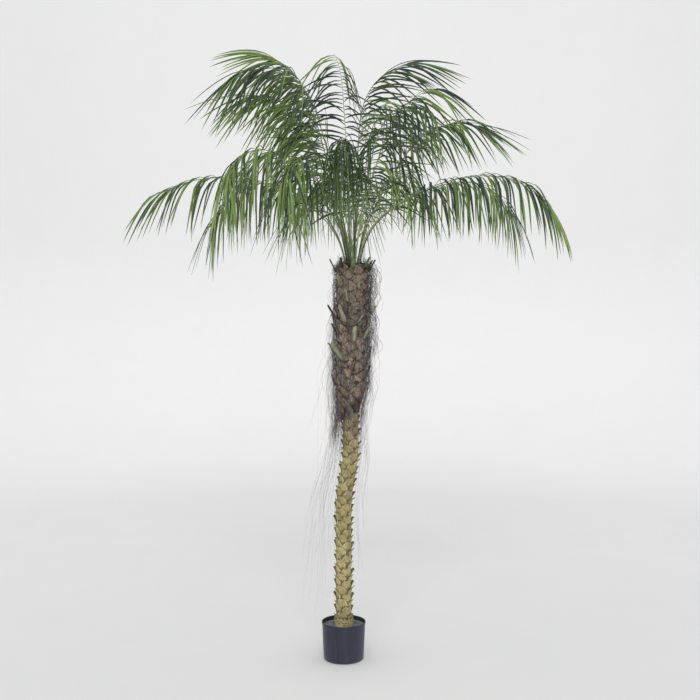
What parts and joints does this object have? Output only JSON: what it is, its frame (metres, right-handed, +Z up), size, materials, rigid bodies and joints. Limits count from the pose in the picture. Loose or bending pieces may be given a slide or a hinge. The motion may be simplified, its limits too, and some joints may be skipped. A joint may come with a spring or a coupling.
{
  "type": "artificial date palm tree in a pot",
  "caption": "Indoor artificial palm: slim scaled trunk with a fibrous upper sleeve, arching feather fronds, small round pot filled with cement.",
  "frame": {"origin": "centre of the pot's flat underside", "axes": "+Z up along the pot's axis, +X to the right of the front view and the way the trunk leans, +Y to the back"},
  "size_m": [1.7284, 1.3388, 2.4985],
  "materials": {
    "pot": "satin charcoal plastic with faint vertical flow marks",
    "cement": "rough dark grey cement",
    "trunk": "moulded khaki leaf scales with darker brown creases and tips",
    "fibre": "brown leaf boots wrapped in dry fibre",
    "stub": "grey-green cut leaf stalks",
    "frond": "matt printed green leaflets on green ribs"
  },
  "bodies": {
    "root": {"pot": "pot", "cement_fill": "cement", "trunk": "trunk", "fibre_sleeve": "fibre", "crown_boss": "fibre", "cut_stub_1": "stub", "cut_stub_2": "stub", "cut_stub_3": "stub", "cut_stub_4": "stub", "cut_stub_5": "stub", "cut_stub_6": "stub", "upper_frond_1_inner": "frond", "upper_frond_1_outer": "frond", "upper_frond_2_inner": "frond", "upper_frond_2_outer": "frond", "upper_frond_3_inner": "frond", "upper_frond_3_outer": "frond", "upper_frond_4_inner": "frond", "upper_frond_4_outer": "frond", "upper_frond_5_inner": "frond", "upper_frond_5_outer": "frond", "upper_frond_6_inner": "frond", "upper_frond_6_outer": "frond", "middle_frond_1_inner": "frond", "middle_frond_1_outer": "frond", "middle_frond_2_inner": "frond", "middle_frond_2_outer": "frond", "middle_frond_3_inner": "frond", "middle_frond_3_outer": "frond", "middle_frond_4_inner": "frond", "middle_frond_4_outer": "frond", "middle_frond_5_inner": "frond", "middle_frond_5_outer": "frond", "middle_frond_6_inner": "frond", "middle_frond_6_outer": "frond", "lower_frond_1_inner": "frond", "lower_frond_1_outer": "frond", "lower_frond_2_inner": "frond", "lower_frond_2_outer": "frond", "lower_frond_3_inner": "frond", "lower_frond_3_outer": "frond", "lower_frond_4_inner": "frond", "lower_frond_4_outer": "frond", "lower_frond_5_inner": "frond", "lower_frond_5_outer": "frond", "lower_frond_6_inner": "frond", "lower_frond_6_outer": "frond", "lower_frond_7_inner": "frond", "lower_frond_7_outer": "frond", "lower_frond_8_inner": "frond", "lower_frond_8_outer": "frond", "lower_frond_9_inner": "frond", "lower_frond_9_outer": "frond"}
  },
  "joints": []
}
